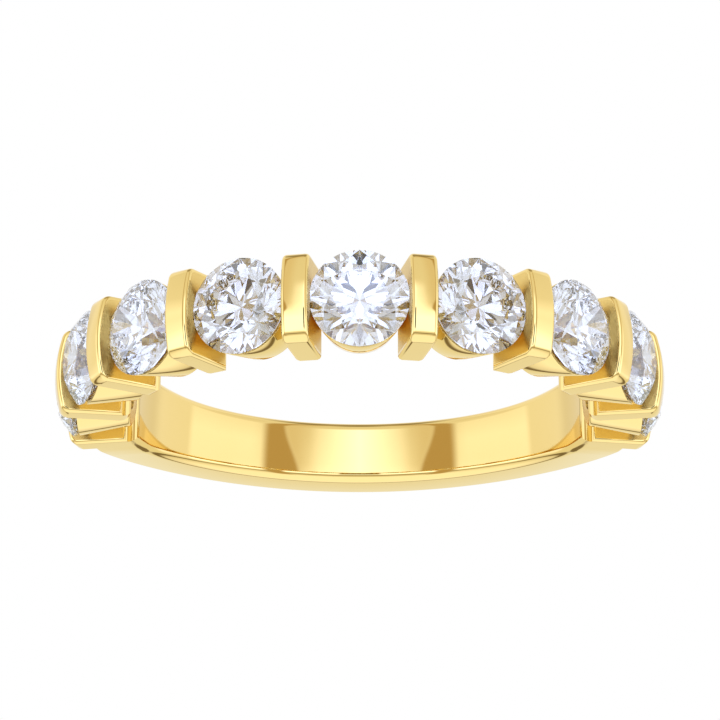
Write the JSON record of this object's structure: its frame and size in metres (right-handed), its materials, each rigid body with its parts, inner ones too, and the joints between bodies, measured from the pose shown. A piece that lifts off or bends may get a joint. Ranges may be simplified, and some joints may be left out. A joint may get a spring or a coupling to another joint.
{
  "type": "bar set band",
  "caption": "Finger ring with a row of round brilliants half-way round, each held between two polished bars over a tapered open cup.",
  "frame": {"origin": "centre of the finger hole, half-way across the band", "axes": "+Z along the finger, so the ring lies on its side; the middle stone is on -Y and the plain back of the shank on +Y"},
  "size_m": [0.0228, 0.022, 0.0034],
  "materials": {
    "gold": "polished yellow gold",
    "diamond": "clear cut stone, polished facets"
  },
  "bodies": {
    "root": {"band": "gold", "stone_1": "diamond", "stone_2": "diamond", "stone_3": "diamond", "stone_4": "diamond", "stone_5": "diamond", "stone_6": "diamond", "stone_7": "diamond", "stone_8": "diamond", "stone_9": "diamond"}
  },
  "joints": []
}
